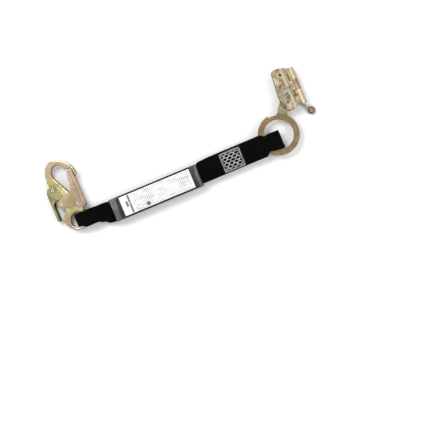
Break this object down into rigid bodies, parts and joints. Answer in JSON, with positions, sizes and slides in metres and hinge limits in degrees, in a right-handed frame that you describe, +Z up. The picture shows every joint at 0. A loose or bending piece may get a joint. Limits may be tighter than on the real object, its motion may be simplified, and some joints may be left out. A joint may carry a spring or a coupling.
{
  "type": "rope grab",
  "caption": "Manual fall-arrest rope grab with hinged rope sleeve, toothed cam, connector ring, sewn energy-absorbing lanyard and double-locking snap hook.",
  "frame": {"origin": "middle of the absorber pack's flat underside", "axes": "+X along the lanyard from the hook to the grab, +Y the way the hook's nose and the grab's top point, +Z up, away from the surface it lies on"},
  "size_m": [0.5352, 0.1599, 0.0292],
  "materials": {
    "zinc": "yellow zinc plate, satin",
    "zinc_olive": "olive zinc plate, satin",
    "zinc_dark": "darker zinc plate, satin",
    "rivet": "bright zinc plate",
    "spring": "plain spring steel",
    "webbing": "woven polyester webbing",
    "film": "clear film over black webbing",
    "label": "printed label",
    "thread": "heavy sewing thread"
  },
  "bodies": {
    "housing": {"front_plate": "zinc", "back_plate": "zinc", "upper_spacer_rivet": "rivet", "lower_spacer_rivet": "rivet", "cam_axle_rivet": "rivet", "hinge_pin": "rivet", "latch_pin": "rivet", "spring_anchor_screw": "rivet", "cam_spring": "spring", "plunger_guide": "zinc"},
    "sleeve": {"rope_sleeve": "zinc"},
    "latch": {"latch_strap": "zinc"},
    "plunger": {"plunger_stem": "zinc_dark", "plunger_knob": "zinc_dark", "knob_cross_pin": "rivet", "plunger_spring": "spring"},
    "cam": {"cam_lever": "zinc_olive", "ring_rivet": "rivet", "front_washer": "zinc", "back_washer": "zinc"},
    "ring": {"connector_ring": "zinc_dark"},
    "ring_loop": {"ring_loop_webbing": "webbing"},
    "pack": {"ring_strap_webbing": "webbing", "box_stitch": "thread", "absorber_core": "webbing", "pack_cover": "film", "label": "label", "hook_strap_webbing": "webbing"},
    "hook_loop": {"hook_loop_webbing": "webbing"},
    "hook": {"hook_body": "zinc", "gate_rivet": "rivet", "lever_rivet": "rivet", "gate_spring": "spring", "lever_spring": "spring"},
    "gate": {"hook_gate": "zinc", "gate_tail_pin": "rivet"},
    "lever": {"lock_lever": "zinc_olive"}
  },
  "joints": [
    {"name": "sleeve_hinge", "type": "hinge", "parent": "housing", "child": "sleeve", "pos_m": [0.3165, 0.086, 0.0029], "axis": [0, 1, 0], "range_deg": [0, 80]},
    {"name": "latch_hinge", "type": "hinge", "parent": "housing", "child": "latch", "pos_m": [0.3165, 0.0885, 0.0265], "axis": [0, -1, 0], "range_deg": [0, 45], "stiffness_Nm_per_rad": 0.02, "springref_deg": -11.46},
    {"name": "plunger_slide", "type": "slide", "parent": "housing", "child": "plunger", "axis": [0.5255, -0.8508, 0], "range_m": [0, 0.004], "stiffness_N_per_m": 600, "springref_m": -0.002, "deforming": ["plunger_spring"]},
    {"name": "cam_pivot", "type": "hinge", "parent": "housing", "child": "cam", "pos_m": [0.3, 0.078, 0.0147], "axis": [0, 0, 1], "range_deg": [-20, 16], "stiffness_Nm_per_rad": 0.1},
    {"name": "ring_pivot", "type": "hinge", "parent": "cam", "child": "ring", "pos_m": [0.2818, 0.0534, 0.0147], "axis": [0, 0, 1], "range_deg": [-20, 25]},
    {"name": "ring_slip", "type": "hinge", "parent": "ring", "child": "ring_loop", "pos_m": [0.2574, 0.0133, 0.0147], "axis": [0, 0, 1], "range_deg": [-35, 50]},
    {"name": "ring_strap_flex", "type": "hinge", "parent": "ring_loop", "child": "pack", "pos_m": [0.184, 0.004, 0.0147], "axis": [0, 1, 0], "range_deg": [-60, 60]},
    {"name": "hook_strap_flex", "type": "hinge", "parent": "pack", "child": "hook_loop", "pos_m": [-0.105, 0.002, 0.012], "axis": [0, 1, 0], "range_deg": [-60, 60]},
    {"name": "hook_swing", "type": "hinge", "parent": "hook_loop", "child": "hook", "pos_m": [-0.155, 0.01, 0.0135], "axis": [-0.1736, 0, 0.9848], "range_deg": [-12, 40]},
    {"name": "gate_hinge", "type": "hinge", "parent": "hook", "child": "gate", "pos_m": [-0.14614, 0.039, 0.01506], "axis": [-0.1736, 0, 0.9848], "range_deg": [0, 25], "stiffness_Nm_per_rad": 0.08, "springref_deg": -28.65, "deforming": ["gate_spring"]},
    {"name": "lever_hinge", "type": "hinge", "parent": "hook", "child": "lever", "pos_m": [-0.1806, 0.079, 0.00898], "axis": [-0.1736, 0, 0.9848], "range_deg": [0, 3.5], "stiffness_Nm_per_rad": 0.1, "springref_deg": -17.19, "deforming": ["lever_spring"]}
  ]
}
